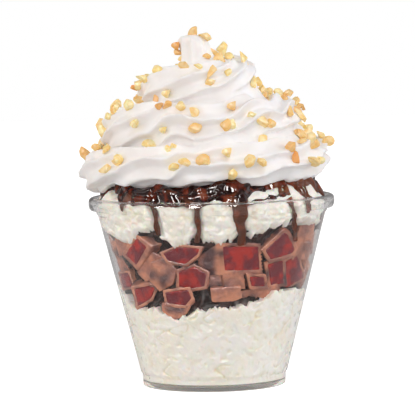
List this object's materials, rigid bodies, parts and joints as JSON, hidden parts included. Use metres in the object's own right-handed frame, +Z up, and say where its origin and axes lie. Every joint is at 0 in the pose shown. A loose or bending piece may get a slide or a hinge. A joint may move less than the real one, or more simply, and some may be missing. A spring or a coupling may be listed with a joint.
{
  "type": "ice cream sundae",
  "caption": "Sundae in a clear plastic cup: vanilla ice cream with a belt of chopped chocolate jelly bars, dark chocolate sauce, and a tall swirl of piped whipped cream with chopped peanuts.",
  "frame": {"origin": "centre of the foot ring, on the surface that the cup stands on", "axes": "+Z up; the front of the sundae, as pictured, faces -Y; +X to its right"},
  "size_m": [0.0935, 0.0928, 0.131],
  "materials": {
    "clear_plastic": "clear, smooth, thin thermoformed sheet",
    "vanilla_ice_cream": "soft, crumbly, slightly wet",
    "dark_chocolate": "thick dark sauce between the pieces",
    "milk_chocolate": "satin moulded chocolate with cut faces of dark red jelly",
    "chocolate_sauce": "glossy, wet",
    "whipped_cream": "soft satin"
  },
  "bodies": {
    "root": {"cup": "clear_plastic", "ice_cream_lower": "vanilla_ice_cream", "chocolate_belt": "dark_chocolate", "jelly_bar_01": "milk_chocolate", "jelly_bar_02": "milk_chocolate", "jelly_bar_03": "milk_chocolate", "jelly_bar_04": "milk_chocolate", "jelly_bar_05": "milk_chocolate", "jelly_bar_06": "milk_chocolate", "jelly_bar_07": "milk_chocolate", "jelly_bar_08": "milk_chocolate", "jelly_bar_09": "milk_chocolate", "jelly_bar_10": "milk_chocolate", "jelly_bar_11": "milk_chocolate", "jelly_bar_12": "milk_chocolate", "jelly_bar_13": "milk_chocolate", "jelly_bar_14": "milk_chocolate", "jelly_bar_15": "milk_chocolate", "jelly_bar_16": "milk_chocolate", "jelly_bar_17": "milk_chocolate", "jelly_bar_18": "milk_chocolate", "jelly_bar_19": "milk_chocolate", "jelly_bar_20": "milk_chocolate", "jelly_bar_21": "milk_chocolate", "jelly_bar_22": "milk_chocolate", "jelly_bar_23": "milk_chocolate", "jelly_bar_24": "milk_chocolate", "jelly_bar_25": "milk_chocolate", "ice_cream_upper": "vanilla_ice_cream", "chocolate_sauce": "chocolate_sauce", "whipped_cream": "whipped_cream"}
  },
  "joints": []
}
